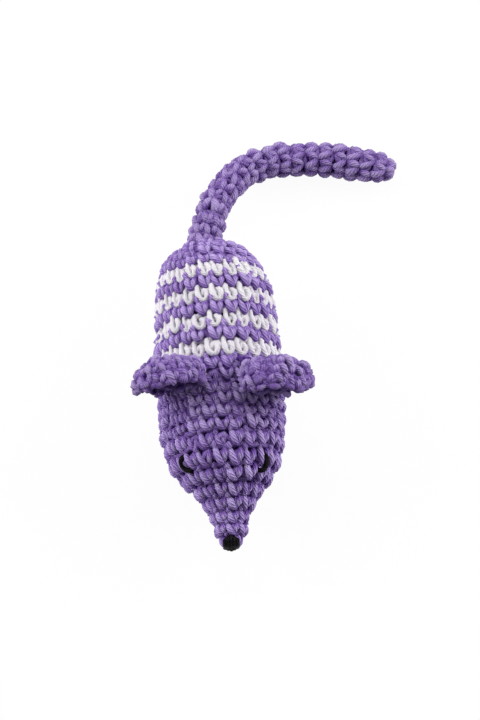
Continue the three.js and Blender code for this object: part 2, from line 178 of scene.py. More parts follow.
# %% [markdown]
# ## Yarn finish
# The yarn is plied cotton: several thin strands twisted together, with a soft shine along each one.
# The bevelled curve that carries a strand comes with a UV map, where U runs along the yarn and V
# round it, so a pattern on that map follows the yarn through every bend. A sine of both gives the
# slanting plies, as bump and as a slight change of colour, which paints shade into the grooves
# between the plies, and a stretched noise makes streaks. A depth, stored on each point when the yarn
# is laid, and a wave that dips twice along each stitch take the colour from a painted shade, dark
# where the yarn lies deep in the fabric, to the pale of the ridges.

# %% Helpers for finishes


def start_finish(name, roughness):
    material = bpy.data.materials.new(name)
    material.use_nodes = True
    nodes = material.node_tree.nodes
    shader = nodes["Principled BSDF"]
    shader.inputs["Roughness"].default_value = roughness
    return material, nodes, material.node_tree.links, shader


def math_node(nodes, links, operation, *values):
    node = nodes.new("ShaderNodeMath")
    node.operation = operation
    for socket, value in zip(node.inputs, values):
        if isinstance(value, (int, float)):
            socket.default_value = value
        else:
            links.new(value, socket)
    return node.outputs[0]


def two_colours(nodes, links, share, shader, low, high, low_at=0.0, high_at=1.0):
    node = nodes.new("ShaderNodeValToRGB")
    ramp = node.color_ramp
    ramp.elements[0].color = (*low, 1)
    ramp.elements[0].position = low_at
    ramp.elements[1].color = (*high, 1)
    ramp.elements[1].position = high_at
    links.new(share, node.inputs[0])
    links.new(node.outputs[0], shader.inputs["Base Color"])
    return ramp


def add_relief(nodes, links, height, shader, distance, strength=1.0):
    bump = nodes.new("ShaderNodeBump")
    bump.inputs["Strength"].default_value = strength
    bump.inputs["Distance"].default_value = distance
    links.new(height, bump.inputs["Height"])
    links.new(bump.outputs[0], shader.inputs["Normal"])


# %% Yarn finish
PLIES = 7
PLY_TURNS = 14
PLY_DEPTH = 0.0005
SHEEN_ROUGHNESS = 0.45
STREAK_STRETCH = (7, 14, 1)
STREAK_DETAIL = 3
DARKEST = -0.5
DIP_SHARE = 0.06
DIP_PLACE = 0.27
PLY_SHARE = 0.22
DEPTH_SHARE = 0.95
STREAK_SHARE = 0.5
GROOVE_AT = 0.1
BETWEEN_AT = 0.5
RIDGE_AT = 0.9


def yarn_finish(name, groove, ridge, sheen, roughness, relief=0.9):
    material, nodes, links, shader = start_finish(name, roughness)
    shader.inputs["Sheen Weight"].default_value = sheen
    shader.inputs["Sheen Roughness"].default_value = SHEEN_ROUGHNESS
    shader.inputs["Sheen Tint"].default_value = (*ridge, 1)
    shader.inputs["Specular IOR Level"].default_value = sheen
    coordinates = nodes.new("ShaderNodeTexCoord")
    split = nodes.new("ShaderNodeSeparateXYZ")
    links.new(coordinates.outputs["UV"], split.inputs[0])
    along = math_node(nodes, links, "MULTIPLY", split.outputs["X"], PLY_TURNS)
    around = math_node(nodes, links, "MULTIPLY", split.outputs["Y"], PLIES)
    turns = math_node(nodes, links, "ADD", along, around)
    wave = math_node(nodes, links, "SINE", math_node(nodes, links, "MULTIPLY", turns, math.tau))
    ply = math_node(nodes, links, "MULTIPLY_ADD", wave, 0.5, 0.5)
    beat = math_node(nodes, links, "MULTIPLY_ADD", split.outputs["X"], 2 * math.tau,
                     -DIP_PLACE * 2 * math.tau)
    dip = math_node(nodes, links, "COSINE", beat)
    stretch = nodes.new("ShaderNodeMapping")
    stretch.inputs["Scale"].default_value = STREAK_STRETCH
    links.new(coordinates.outputs["UV"], stretch.inputs["Vector"])
    streaks = nodes.new("ShaderNodeTexNoise")
    streaks.inputs["Scale"].default_value = 1
    streaks.inputs["Detail"].default_value = STREAK_DETAIL
    links.new(stretch.outputs[0], streaks.inputs["Vector"])
    depth = nodes.new("ShaderNodeAttribute")
    depth.attribute_name = "depth"
    # Painted shade: the dip, the ply grooves and a low depth darken the colour towards the groove colour.
    shade = math_node(nodes, links, "MULTIPLY_ADD", dip, DIP_SHARE, DARKEST)
    shade = math_node(nodes, links, "MULTIPLY_ADD", ply, PLY_SHARE, shade)
    shade = math_node(nodes, links, "MULTIPLY_ADD", depth.outputs["Fac"], DEPTH_SHARE, shade)
    shade = math_node(nodes, links, "MULTIPLY_ADD", streaks.outputs["Fac"], STREAK_SHARE, shade)
    ramp = two_colours(nodes, links, shade, shader, groove, ridge, GROOVE_AT, RIDGE_AT)
    between = ramp.elements.new(BETWEEN_AT)
    between.color = (*(math.sqrt(low * high) for low, high in zip(groove, ridge)), 1)
    add_relief(nodes, links, ply, shader, PLY_DEPTH, relief)
    return material


# The first colour of each yarn is the painted shade of its grooves, the second the pale of its ridges.
plied_purple = yarn_finish("plied_purple", (0.080, 0.030, 0.215), (0.455, 0.352, 0.66), 0.12, 0.6, 0.6)
# The same purple yarn with a darker ridge, for the tail and the ears: painted shade.
shade_dimmed_purple = yarn_finish("shade_dimmed_purple", (0.085, 0.034, 0.225), (0.345, 0.262, 0.505), 0.12, 0.65, 0.6)
plied_white = yarn_finish("plied_white", (0.55, 0.515, 0.59), (0.70, 0.68, 0.72), 0.2, 0.55, 0.5)
plied_black = yarn_finish("plied_black", (0.004, 0.003, 0.005), (0.010, 0.007, 0.012), 0.1, 0.6)
# shaded_purple and shaded_white are darker copies of the purple and the white for the back strands:
# painted shade.
shaded_purple = yarn_finish("shaded_purple", (0.058, 0.013, 0.20), (0.30, 0.175, 0.54), 0.05, 0.7)
shaded_white = yarn_finish("shaded_white", (0.46, 0.43, 0.50), (0.72, 0.69, 0.75), 0.1, 0.7)
PURPLE_STRANDS = (plied_purple, shaded_purple)
SHADE_DIMMED_STRANDS = (shade_dimmed_purple, shaded_purple)
WHITE_STRANDS = (plied_white, shaded_white)
print("yarns", plied_purple.name, plied_white.name, plied_black.name)

# %% [markdown]
# ## The outline of the body
# The body is a round form on one axis, so a single line from the nose to the rump says it all. The
# line goes through the same points as the CAD model and is rounded the same way, with a centripetal
# Catmull-Rom spline, which doesn't overshoot between points that lie close together. From here on the
# sizes are in millimetres, and `MM` brings a finished mesh to metres.

# %% Outline
AXIS_HEIGHT = 22.0
BELLY_STATION = 57.434
LENGTHS = (0.5, 2.8, 7.2, 16.5, 9, 12, 30, 17, 11, 8)
RADII = (2.6, 4.7, 6.9, 17.9, 21.1, 22.5, 22.1, 20.7, 16.2, 4)


def flowing_line(points, steps=40):
    points = np.array(points, float)
    ends = [2 * points[0] - points[1], *points, 2 * points[-1] - points[-2]]
    line = []
    for before, start, end, after in zip(ends, ends[1:], ends[2:], ends[3:]):
        a, b, c = (np.linalg.norm(q - p) ** 0.5 for p, q in ((before, start), (start, end), (end, after)))
        leave = b * ((start - before) / a - (end - before) / (a + b) + (end - start) / b)
        arrive = b * ((end - start) / b - (after - start) / (b + c) + (after - end) / c)
        for t in np.arange(steps) / steps:
            line.append(start * (2 * t**3 - 3 * t**2 + 1) + leave * (t**3 - 2 * t**2 + t)
                        + end * (3 * t**2 - 2 * t**3) + arrive * (t**3 - t**2))
    return np.array([*line, points[-1]])


def distances(line):
    return np.concatenate(([0], np.cumsum(np.linalg.norm(np.diff(line, axis=0), axis=1))))


def along_line(line, marks, places):
    return np.stack([np.interp(places, marks, line[:, axis]) for axis in range(line.shape[1])], axis=-1)


outline = flowing_line([(0, 0), *zip(np.cumsum(LENGTHS), RADII)])
outline_marks = distances(outline)
outline_slope = np.gradient(outline, outline_marks + np.arange(len(outline)) * 1e-9, axis=0)
OUTLINE_ARC = outline_marks[-1]
print("outline", round(OUTLINE_ARC, 2), "mm long, widest", round(2 * outline[:, 1].max(), 2), "mm")

# %% [markdown]
# ## Places on the fabric
# A stitch is drawn on flat paper: across the stitch, along the rounds, and out from the back of the
# fabric. A helper then takes a drawn point to its place on the body. A station is a distance from the
# nose along the axis, and an arc is a distance along the outline. The fabric is as thick as two strands
# of yarn, and a yarn that would sink into the paper floor is held just above it. A hand-made body is
# never quite straight, so a sway of less than a millimetre moves its middle aside.

# %% Places on the body
COVER = 4.2
YARN = 1.05
FLOOR_REST = 1.0
LEAST_RADIUS = 0.4
SWAY_STATIONS = (0, 12, 20, 31, 45, 65, 80, 92, 104, 114)
SWAY = (-0.2, 0.3, 0.35, -0.35, 0, 0.1, 0.4, 0.4, -0.6, -0.9)


def radius_at(station):
    return np.interp(station, outline[:, 0], outline[:, 1])


def on_body(turn, arc, out):
    arc = np.asarray(arc, float)
    inside = np.clip(arc, 0, OUTLINE_ARC)
    spot = along_line(outline, outline_marks, inside)
    slope = along_line(outline_slope, outline_marks, inside)
    slope /= np.linalg.norm(slope, axis=-1, keepdims=True)
    depth = np.asarray(out, float) - COVER
    station = spot[..., 0] - slope[..., 1] * depth + (arc - inside) * slope[..., 0]
    radius = spot[..., 1] + slope[..., 0] * depth + (arc - inside) * slope[..., 1]
    radius = np.maximum(radius, LEAST_RADIUS)
    height = np.maximum(AXIS_HEIGHT + radius * np.cos(turn), FLOOR_REST)
    aside = radius * np.sin(turn) + np.interp(station, SWAY_STATIONS, SWAY)
    return np.stack([aside, station - BELLY_STATION, height], axis=-1)


print("top of the neck", on_body(0, 60, COVER).round(2))

# %% [markdown]
# ## One stitch
# A stitch is a short row of points, each with its place across, along and out, and the thickness of
# the yarn there. In a white round the yarn makes a ring with a tall tooth at its left. In a purple
# round it makes a V, with a knob above its left leg. The stitches of the head sit closer, and those of
# the tail and of the insides of the ears are plain knobs. Two more strands close the fabric behind
# every stitch: the chain along its top, and the back.

# %% Drawings of the stitches
RING_STITCH = np.array([
    (-0.37, 1.34, 1.2, 0.72), (-0.35, 1.25, 2.3, 0.88), (-0.33, 1.09, 2.9, 0.98),
    (-0.33, 0.90, 2.8, 0.92), (-0.33, 0.68, 3.05, 1.00), (-0.28, 0.42, 3.2, 1.04),
    (-0.18, 0.18, 3.1, 1.02), (-0.04, 0.04, 2.95, 0.98), (0.11, 0.04, 2.9, 0.96),
    (0.23, 0.18, 3.0, 0.98), (0.28, 0.41, 3.1, 1.00), (0.24, 0.65, 3.1, 1.00),
    (0.11, 0.80, 2.8, 0.96), (-0.05, 0.83, 1.9, 0.85)])
VEE_STITCH = np.array([
    (-0.38, 1.46, 1.1, 0.80), (-0.37, 1.36, 2.5, 1.06), (-0.36, 1.18, 3.1, 1.20),
    (-0.34, 0.97, 2.1, 0.85), (-0.32, 0.84, 2.3, 0.95), (-0.27, 0.62, 3.05, 1.16),
    (-0.18, 0.36, 3.15, 1.22), (-0.06, 0.14, 2.8, 1.10), (0.05, 0.05, 2.3, 0.98),
    (0.15, 0.14, 2.1, 0.92), (0.22, 0.34, 2.7, 1.06), (0.27, 0.57, 3.0, 1.16),
    (0.32, 0.78, 2.5, 1.00), (0.37, 0.94, 1.2, 0.75)])
FACE_STITCH = np.array([
    (-0.40, 1.24, 1.2, 0.75), (-0.41, 1.15, 2.4, 1.00), (-0.40, 1.02, 2.8, 1.10),
    (-0.37, 0.90, 2.2, 0.88), (-0.34, 0.78, 2.6, 0.98), (-0.28, 0.58, 3.05, 1.15),
    (-0.18, 0.34, 3.15, 1.24), (-0.06, 0.14, 2.9, 1.15), (0.05, 0.04, 2.3, 1.00),
    (0.14, 0.14, 1.9, 0.90), (0.20, 0.34, 2.6, 1.05), (0.26, 0.56, 3.0, 1.17),
    (0.31, 0.78, 2.6, 1.02), (0.36, 0.95, 1.2, 0.75)])
KNOB_STITCH = np.array([
    (-0.43, 0.82, 0.8, 0.9), (-0.39, 0.76, 1.9, 1.05), (-0.33, 0.62, 2.7, 1.25),
    (-0.25, 0.43, 3.0, 1.32), (-0.12, 0.24, 2.75, 1.25), (0.00, 0.10, 2.1, 1.05),
    (0.10, 0.06, 1.7, 1.0), (0.20, 0.12, 2.2, 1.1), (0.28, 0.30, 2.75, 1.22),
    (0.33, 0.48, 2.65, 1.22), (0.37, 0.63, 1.9, 1.05), (0.43, 0.76, 0.8, 0.9)])
CHAIN = np.array([
    (-0.10, 0.95, 1.9, 1.0), (0.15, 0.91, 1.6, 1.0), (0.40, 0.98, 1.7, 1.0), (0.62, 1.05, 2.0, 1.1)])
BACK = np.array([
    (-0.25, 0.30, 1.8, 1.15), (0.02, 0.60, 2.3, 1.2), (0.25, 0.72, 2.0, 1.2), (0.50, 0.45, 1.9, 1.15)])
INSIDE = KNOB_STITCH * (1, 1.15, -0.9, 1) + (0, 0.05, 1.1, 0)
INSIDE_BACK = np.array([
    (-0.25, 0.40, 0.2, 1.3), (0.02, 0.50, 0.0, 1.3), (0.25, 0.60, 0.2, 1.3), (0.50, 0.80, 0.4, 1.3)])
print("points in a ring", len(RING_STITCH), "in a knob", len(KNOB_STITCH))

# %% [markdown]
# ## Laying the rounds
# The drawing is repeated round the toy with small changes drawn at random, because no hand works two
# stitches alike. A laid strand is a table with a row for each point: its place, the place one
# millimetre further out, its height in the fabric and its thickness. One closed spline carries a whole
# round, because the yarn is never cut, and automatic Bezier handles keep the bends soft. The curves
# are drawn in millimetres, so that the bevel stays exact, and the mesh is then brought to metres.

# %% Laying a round
UNEVEN = 0.09
SIDESTEP = 0.6
CREEP = 0.5
WANDER = 0.12
HAND_SEED = 7
hand = np.random.default_rng(HAND_SEED)


def lay_round(place, start, height, stitches, shift, fullness, drawing, uneven):
    order = np.arange(stitches)[:, None]
    sway = hand.normal(0, uneven, (4, stitches, 1))
    across = (order + shift + drawing[:, 0] * (1 + sway[0]) + SIDESTEP * sway[1]) / stitches
    wave = WANDER * np.sin(math.tau * 2 * across + hand.uniform(0, math.tau))
    along = start + height * (drawing[:, 1] * (1 + sway[1]) + CREEP * sway[2]) + wave
    out = drawing[:, 2] * (1 + sway[2])
    lifted = out.ravel() + fullness
    spots = [place((math.tau * across).ravel(), along.ravel(), lifted + extra) for extra in (0, 1)]
    thickness = drawing[:, 3] * (1 + sway[3])
    return np.column_stack([*spots, out.ravel(), thickness.ravel()])


# %% From strands to a piece
SIDES = 6


def yarn_curve(name, thickness, sides=SIDES, steps=1):
    curve = bpy.data.curves.new(name, "CURVE")
    curve.dimensions = "3D"
    curve.bevel_depth = thickness
    curve.bevel_resolution = sides // 2 - 2
    curve.resolution_u = steps
    curve.use_fill_caps = True
    return curve


def add_strand(curve, points, closed, thickness=(1,), finish_index=0):
    spline = curve.splines.new("BEZIER")
    spline.material_index = finish_index
    spline.bezier_points.add(len(points) - 1)
    spline.use_cyclic_u = closed
    points = np.asarray(points)
    spline.bezier_points.foreach_set("co", points[:, :3].ravel())
    spline.bezier_points.foreach_set("radius", np.resize(thickness, len(points)))
    for point in spline.bezier_points:
        point.handle_left_type = "AUTO"
        point.handle_right_type = "AUTO"


def finished_mesh(obj):
    bpy.context.view_layer.update()
    return bpy.data.meshes.new_from_object(obj.evaluated_get(bpy.context.evaluated_depsgraph_get()))


def yarn_piece(curve, finishes, repeats):
    for finish in finishes:
        curve.materials.append(finish)
    carrier = bpy.data.objects.new(curve.name, curve)
    scene.collection.objects.link(carrier)
    mesh = finished_mesh(carrier)
    mesh.name = curve.name
    bpy.data.objects.remove(carrier)
    counts = [len(s.bezier_points) * s.resolution_u for s in curve.splines]
    uv = np.zeros(2 * len(mesh.loops), np.float32)
    mesh.uv_layers[0].data.foreach_get("uv", uv)
    uv = uv.reshape(-1, 2)
    ends = np.cumsum(counts) * len(uv) // sum(counts)
    for start, end, repeat in zip((0, *ends), ends, repeats):
        uv[start:end, 0] *= repeat
    mesh.uv_layers[0].data.foreach_set("uv", uv.ravel())
    mesh.transform(Matrix.Scale(MM, 4))
    mesh.shade_smooth()
    piece = bpy.data.objects.new(mesh.name, mesh)
    scene.collection.objects.link(piece)
    return piece


# %% Marking the depth
LEAST_LENGTH = 0.01


def spots_of(mesh):
    spots = np.zeros(3 * len(mesh.vertices), np.float32)
    mesh.vertices.foreach_get("co", spots)
    return spots.reshape(-1, 3)


# The depth, as a share of the cover, drives the painted shade of the yarn finish: lower is darker.
def mark_depth(piece, strands):
    spots = spots_of(piece.data).reshape(-1, SIDES, 3) / MM
    middles = spots.mean(axis=1, keepdims=True)
    drawn = np.vstack(strands)
    outward = drawn[:, 3:6] - drawn[:, :3]
    outward /= np.maximum(np.linalg.norm(outward, axis=1, keepdims=True), LEAST_LENGTH)
    depth = drawn[:, 6:7] + ((spots - middles) * outward[:, None]).sum(axis=2)
    attribute = piece.data.attributes.new("depth", "FLOAT", "POINT")
    attribute.data.foreach_set("value", (depth / COVER).ravel().astype(np.float32))
    return np.abs(middles[:, 0] - drawn[:, :3]).max()


# %% A crocheted piece
INSIDE_FACE = 1.0


def crochet(name, finishes, place, rounds, edging=None, uneven=UNEVEN):
    curve = yarn_curve(name, YARN)
    repeats = []
    strands = []
    for index, (start, height, stitches, shift, fullness, stitch) in enumerate(rounds):
        drawings = [stitch, CHAIN, BACK]
        if edging is not None:
            drawings += [INSIDE, INSIDE_BACK]
            if index == len(rounds) - 1:
                drawings.append(edging)
        for drawing in drawings:
            strand = lay_round(place, start, height, stitches, shift, fullness, drawing, uneven)
            # The back strands take the second, darker finish: painted shade.
            add_strand(curve, strand, True, strand[:, 7], 1 if drawing is BACK else 0)
            repeats.append(stitches)
            # Inside strands have their depth turned round, so that the painted shade leaves their sides
            # towards the hollow pale.
            if drawing is INSIDE or drawing is INSIDE_BACK:
                strand[:, 3:6] = 2 * strand[:, :3] - strand[:, 3:6]
                strand[:, 6] = INSIDE_FACE - strand[:, 6]
            strands.append(strand)
    piece = yarn_piece(curve, finishes, repeats)
    astray = mark_depth(piece, strands)
    print(name, len(rounds), "rounds,", sum(r[2] for r in rounds), "stitches,",
          len(piece.data.polygons), "faces, off the drawing by", astray.round(3), "mm")
    return piece


# %% [markdown]
# ## Rounds of the body
# The rounds were counted on the photograph. They are not all the same height: the hand pulled some
# tighter, and the round between the eyes is the tallest. Each round starts about a tenth of a stitch
# further round than the last, so that the columns of stitches lean a little, as crochet does. A round
# with some fullness stands further out, where the filling pushes it.

# %% Head
HEAD_EDGES = (0.9, 6.9, 11.0, 15.4, 20.5, 26.4, 32.6, 39.6, 45.4, 50.0, 54.2, 58.3,
              62.6, 67.3, 72.3)
HEAD_STITCHES = (6, 7, 9, 11, 15, 18, 21, 24, 26, 27, 27, 27, 26, 26)
HEAD_FULLNESS = (0.6, 0.7, 0.3, 0.1, 0.0, 0.35, 0.55, 0.5, 0.4, 0.35, 0.3, 0.3, 0.2, 0.2)
LEAN = 0.12


def rounds_between(edges, stitches, first, drawing, fullness=0.0, lean=LEAN):
    heights = np.diff(edges)
    fullness = np.resize(fullness, len(heights))
    return [(edges[i], heights[i], stitches[i], lean * (first + i), fullness[i], drawing)
            for i in range(len(heights))]


head = crochet("head_stitches", PURPLE_STRANDS, on_body,
               rounds_between(HEAD_EDGES, HEAD_STITCHES, 0, FACE_STITCH, HEAD_FULLNESS))
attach(head, "body")
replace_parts(head, "head_section")

# %% Stripes
STRIPE_EDGES = (72.3, 77.25, 82.2, 87.15, 92.1, 97.05, 102.0, 106.95)
STRIPE_STITCHES = 26
PURPLE_FULLNESS = 0.35
for number, edges in enumerate(zip(STRIPE_EDGES, STRIPE_EDGES[1:])):
    white = number % 2 == 0
    stripe = rounds_between(edges, [STRIPE_STITCHES], len(HEAD_STITCHES) + number,
                            RING_STITCH if white else VEE_STITCH, 0.0 if white else PURPLE_FULLNESS)
    node = f"{'white' if white else 'purple'}_round_{number // 2 + 1}"
    piece = crochet(node + "_stitches", WHITE_STRANDS if white else PURPLE_STRANDS, on_body, stripe)
    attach(piece, "body")
    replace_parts(piece, node)

# %% Rump
RUMP_EDGES = (106.95, 111.2, 115.6, 120.0, 124.3, 128.5)
RUMP_STITCHES = (24, 20, 15, 10, 6)
rounds_before = len(HEAD_STITCHES) + len(STRIPE_EDGES) - 1
rump = crochet("rump_stitches", PURPLE_STRANDS, on_body,
               rounds_between(RUMP_EDGES, RUMP_STITCHES, rounds_before, FACE_STITCH))
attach(rump, "body")
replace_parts(rump, "rump_section")

# %% [markdown]
# ## Lining
# Behind the stitches the holes are closed by more yarn, deep in shade. A skin just inside the cover
# stands for it, in a darker purple than the yarn: painted shade. A spin could make the one of the body,
# but not those of the ears and the curved tail. So a flat grid is bent by the same helper that places
# the stitches, and its edges are merged.

# %% Lining finish
# A darker purple than the yarn: painted shade on the backs of the stitches.
LINING_COLOURS = ((0.11, 0.055, 0.26), (0.28, 0.18, 0.50))
LINING_GRAIN = 700
LINING_DETAIL = 4
LINING_RELIEF = 0.0003


def lining_finish():
    material, nodes, links, shader = start_finish("shaded_yarn_backs", 0.9)
    grain = nodes.new("ShaderNodeTexNoise")
    grain.inputs["Scale"].default_value = LINING_GRAIN
    grain.inputs["Detail"].default_value = LINING_DETAIL
    coordinates = nodes.new("ShaderNodeTexCoord")
    links.new(coordinates.outputs["Object"], grain.inputs["Vector"])
    two_colours(nodes, links, grain.outputs["Fac"], shader, *LINING_COLOURS)
    add_relief(nodes, links, grain.outputs["Fac"], shader, LINING_RELIEF)
    return material


shaded_yarn_backs = lining_finish()
print("lining", shaded_yarn_backs.name)

# %% Lining
LINING_OUT = 1.1
LINING_START = 2.2
LINING_END = 3
LINING_RINGS = 60
LINING_SIDES = 48
SAME_PLACE = 0.01


def piece_of(name, bm, finish):
    mesh = bpy.data.meshes.new(name)
    bm.to_mesh(mesh)
    bm.free()
    mesh.materials.append(finish)
    mesh.shade_smooth()
    piece = bpy.data.objects.new(name, mesh)
    scene.collection.objects.link(piece)
    print(name, len(mesh.polygons), "faces")
    return piece


def skin(name, place, arcs, out, sides, finish):
    bm = bmesh.new()
    bmesh.ops.create_grid(bm, x_segments=sides, y_segments=len(arcs) - 1, size=0.5)
    flat = np.array([vert.co for vert in bm.verts]) + 0.5
    arc = np.interp(flat[:, 1], np.linspace(0, 1, len(arcs)), arcs)
    spots = place(math.tau * flat[:, 0], arc, np.full(len(flat), out))
    for vert, spot in zip(bm.verts, spots):
        vert.co = Vector(spot) * MM
    bmesh.ops.remove_doubles(bm, verts=bm.verts, dist=SAME_PLACE * MM)
    bmesh.ops.recalc_face_normals(bm, faces=bm.faces)
    return piece_of(name, bm, finish)


lining_arcs = np.linspace(LINING_START, OUTLINE_ARC - LINING_END, LINING_RINGS)
lining = skin("cover_lining", on_body, lining_arcs, LINING_OUT, LINING_SIDES, shaded_yarn_backs)
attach(lining, "body")

# %% [markdown]
# ## Ears
# An ear is a small cup, worked from its middle outwards in five rounds and sewn to the head along its
# lower edge. Its inside shows from the front, so it has stitches too, which face the other way. The
# outer end of the rim is cut back by a slant, and its upper and lower edges reach forwards, the brow
# and the lip. A yarn that would run into the head, at any angle that the ear can fold to, is moved out
# to the surface of the head, where the seam presses it.

# %% The cup of an ear
EAR_STATION = 61.0
EAR_ANGLE = {"left": 43, "right": 37}
EAR_SWEEP = {"left": 6, "right": -1}
EAR_OUTWARD = {"left": 1, "right": -1}
EAR_HALF_WIDTH = {"left": 14.4, "right": 13.8}
EAR_HALF_HEIGHT = 12.0
EAR_DEPTH = {"left": 15.5, "right": 11.4}
EAR_SQUARENESS = 2.2
EAR_CURL = math.radians(115)
CUP_STEPS = 240
ear_seat = radius_at(EAR_STATION)


def ear_cup(half_width, depth):
    turn = np.linspace(0, EAR_CURL, CUP_STEPS)
    rise = np.sign(np.cos(turn)) * np.abs(np.cos(turn)) ** (2 / EAR_SQUARENESS)
    rise = depth * (rise - rise[-1]) / (rise[0] - rise[-1])
    return np.stack([half_width * np.sin(turn) ** (2 / EAR_SQUARENESS), rise], axis=1)


def ear_frame(side):
    angle = EAR_OUTWARD[side] * math.radians(EAR_ANGLE[side])
    sweep = EAR_OUTWARD[side] * math.radians(EAR_SWEEP[side])
    turn = Matrix.Rotation(angle, 3, "Y") @ Matrix.Rotation(-sweep, 3, "Z")
    spot = np.array([ear_seat * math.sin(angle), EAR_STATION - BELLY_STATION,
                     AXIS_HEIGHT + ear_seat * math.cos(angle)])
    return np.array(turn), spot


ear_frames = {side: ear_frame(side) for side in EAR_OUTWARD}
print("ears sit at", {side: spot.round(1).tolist() for side, (turn, spot) in ear_frames.items()})

# %% Places on an ear
RIM_SLANT = {"left": 0.5, "right": 0.1}
EAR_LIP = {"left": 0.0, "right": 2.8}
EAR_BROW = {"left": 0.6, "right": 3.2}
EAR_BACK = {"left": 1.6, "right": 3.8}
EAR_RISE = 6.7
EAR_TILT = math.radians(2)
EAR_FOLD = 15
EAR_CLEARANCE = 2.15


def clear_of_head(points, turn, spot):
    for fold in (0, -EAR_FOLD, EAR_FOLD):
        folded = turn @ np.array(Matrix.Rotation(math.radians(fold), 3, "X"))
        there = points @ folded.T + spot
        away = there[:, (0, 2)] - (0, AXIS_HEIGHT)
        distance = np.linalg.norm(away, axis=1)
        needed = radius_at(there[:, 1] + BELLY_STATION) + EAR_CLEARANCE
        there[:, (0, 2)] += away * np.maximum(needed / distance - 1, 0)[:, None]
        points = (there - spot) @ folded
    return points


def on_ear(side, turn, spot):
    half_width = EAR_HALF_WIDTH[side]
    cup = ear_cup(half_width, EAR_DEPTH[side])
    marks = distances(cup)
    cup_slope = np.gradient(cup, marks, axis=0)

    def place(around, arc, out):
        arc = np.asarray(arc, float)
        inside = np.clip(arc, 0, marks[-1])
        point = along_line(cup, marks, inside)
        slope = along_line(cup_slope, marks, inside)
        slope /= np.linalg.norm(slope, axis=-1, keepdims=True)
        depth = np.asarray(out, float) - COVER
        radius = point[:, 0] - slope[:, 1] * depth + (arc - inside) * slope[:, 0]
        radius = np.maximum(radius, LEAST_RADIUS)
        back = point[:, 1] + slope[:, 0] * depth + (arc - inside) * slope[:, 1]
        aside = -radius * np.sin(around)
        upper = np.cos(around)
        rise = radius * upper * EAR_HALF_HEIGHT / half_width
        outer_end = np.clip(EAR_OUTWARD[side] * aside / half_width, 0, 1)
        reach = np.where(upper > 0, EAR_BROW[side], -EAR_LIP[side]) * upper * (arc / marks[-1]) ** 2
        behind = (back - EAR_DEPTH[side]) * (1 - RIM_SLANT[side] * outer_end)
        length = behind * math.cos(EAR_TILT) - rise * math.sin(EAR_TILT) + EAR_BACK[side] - reach
        height = behind * math.sin(EAR_TILT) + rise * math.cos(EAR_TILT) + EAR_RISE
        local = np.stack([aside, length, height], axis=-1)
        return clear_of_head(local, turn, spot) @ turn.T + spot
    return place, marks[-1]


# %% Ear stitches
EAR_STITCHES = (6, 10, 14, 15, 15)
EAR_START = 0.6
RIM_ROOM = 1.5
EAR_LEAN = 0.45
EAR_UNEVEN = 0.16
EAR_LINING_OUT = 2.3
EAR_LINING_START = 0.3
EAR_LINING_RINGS = 16
EAR_LINING_SIDES = 30
RIM = np.array([
    (-0.40, 0.98, 2.2, 0.75), (-0.16, 1.06, 3.1, 1.3), (0.10, 1.07, 2.4, 1.2), (0.36, 1.0, 1.4, 0.8)])
for side, ear_spot in ear_frames.items():
    on_this_ear, rim_arc = on_ear(side, *ear_spot)
    ear_edges = np.linspace(EAR_START, rim_arc - RIM_ROOM, len(EAR_STITCHES) + 1)
    ear_rounds = rounds_between(ear_edges, EAR_STITCHES, 0, FACE_STITCH, 0.0, EAR_LEAN)
    print(side, "ear", rim_arc.round(2), "mm from its middle to its rim")
    ear = crochet(side + "_ear_stitches", SHADE_DIMMED_STRANDS, on_this_ear, ear_rounds, RIM, EAR_UNEVEN)
    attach(ear, side + "_ear")
    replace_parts(ear, side + "_ear")
    ear_arcs = np.linspace(EAR_LINING_START, ear_edges[-1], EAR_LINING_RINGS)
    ear_lining = skin(side + "_ear_lining", on_this_ear, ear_arcs, EAR_LINING_OUT, EAR_LINING_SIDES,
                      shaded_yarn_backs)
    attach(ear_lining, side + "_ear")

# %% [markdown]
# ## Seams of the ears
# Each ear is sewn on with overcast stitches, loops that go through the head and the ear's lower edge
# in turn. A helix round the line where the two meet draws them. The line is bent round the head, and
# the ends of the helix run into it.

# %% Seams of the ears
SEAM_LENGTH = 21.0
SEAM_LOOPS = 12
SEAM_YARN = 0.75
SEAM_RADIUS = 0.85
SEAM_LIFT = 0.5
POINTS_IN_LOOP = 8
seam_turns = np.linspace(0, SEAM_LOOPS * math.tau, POINTS_IN_LOOP * SEAM_LOOPS + 1)
seam_bend = np.linspace(-SEAM_LENGTH / 2, SEAM_LENGTH / 2, len(seam_turns)) / ear_seat
seam_out = ear_seat + SEAM_LIFT - SEAM_RADIUS * np.cos(seam_turns)
seam_path = np.stack([seam_out * np.sin(seam_bend), SEAM_RADIUS * np.sin(seam_turns),
                      seam_out * np.cos(seam_bend) - ear_seat], axis=1)
for side, (turn, spot) in ear_frames.items():
    curve = yarn_curve(side + "_ear_sewing", SEAM_YARN, sides=8, steps=2)
    add_strand(curve, seam_path @ turn.T + spot, False)
    sewing = yarn_piece(curve, [plied_purple], [SEAM_LOOPS])
    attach(sewing, "body")
    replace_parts(sewing, side + "_ear_seam_yarn")
    print(sewing.name, len(sewing.data.polygons), "faces")

# %% [markdown]
# ## Eyes and nose
# The face is embroidered in black yarn, and black paint on the stitches would look flat, so it is laid
# as yarn too. Each eye is one strand that lies in a bow between two rounds, with both ends pulled down
# into the head. The nose is a few strands side by side over the tip, as satin stitch is sewn, and the
# outer ones are shorter, so that the patch is round.

# %% Eyes
EYE_ROUTES = {"right": ((30.5, -51), (29.0, -55.5), (27.0, -54), (26.3, -48.5)),
              "left": ((29.3, 47.5), (27.6, 49.5), (25.7, 50.5), (24.7, 46.5))}
EYE_OUT = {"right": 3.9, "left": 4.4}
EYE_YARN = 0.95
EYE_END_OUT = 1.2
EYE_ENDS = ((0, 0.5, 0.98), (-1, -0.1, 0.95))


